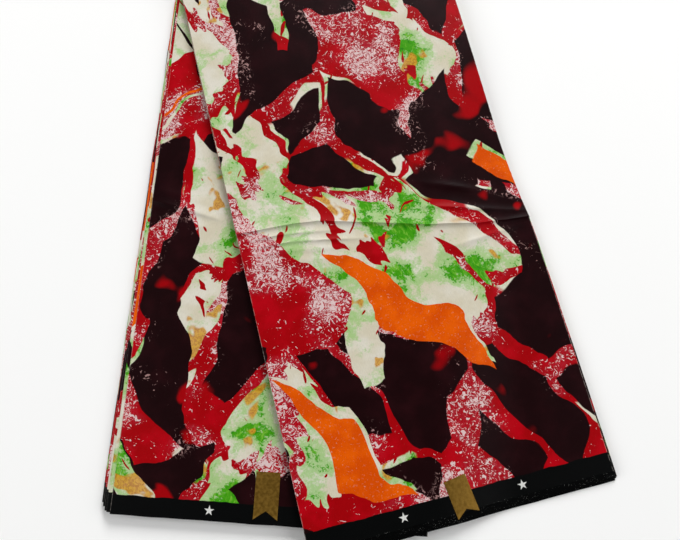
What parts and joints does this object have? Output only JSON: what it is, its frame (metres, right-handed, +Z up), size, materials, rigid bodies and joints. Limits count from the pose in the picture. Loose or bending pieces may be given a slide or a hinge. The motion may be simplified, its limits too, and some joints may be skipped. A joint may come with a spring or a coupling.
{
  "type": "folded wax print fabric",
  "caption": "Long flat bundle of folded printed cotton, laid over once so two arms spread in a shallow V, with a foil label near each selvedge.",
  "frame": {"origin": "on the surface the bundle lies on, under the middle of its bounding box", "axes": "+Y from the selvedge ends towards the bend, +X to the side where the upper arm lies, +Z up through the layers"},
  "size_m": [0.5026, 0.645, 0.0199],
  "materials": {
    "printed_cotton": "calendered cotton with a waxed hand and a slight sheen",
    "label_foil": "thin gold foil, satin"
  },
  "bodies": {
    "root": {"hidden_layers": "printed_cotton", "front_leaf": "printed_cotton", "back_leaf": "printed_cotton", "front_label": "label_foil", "back_label": "label_foil"}
  },
  "joints": []
}
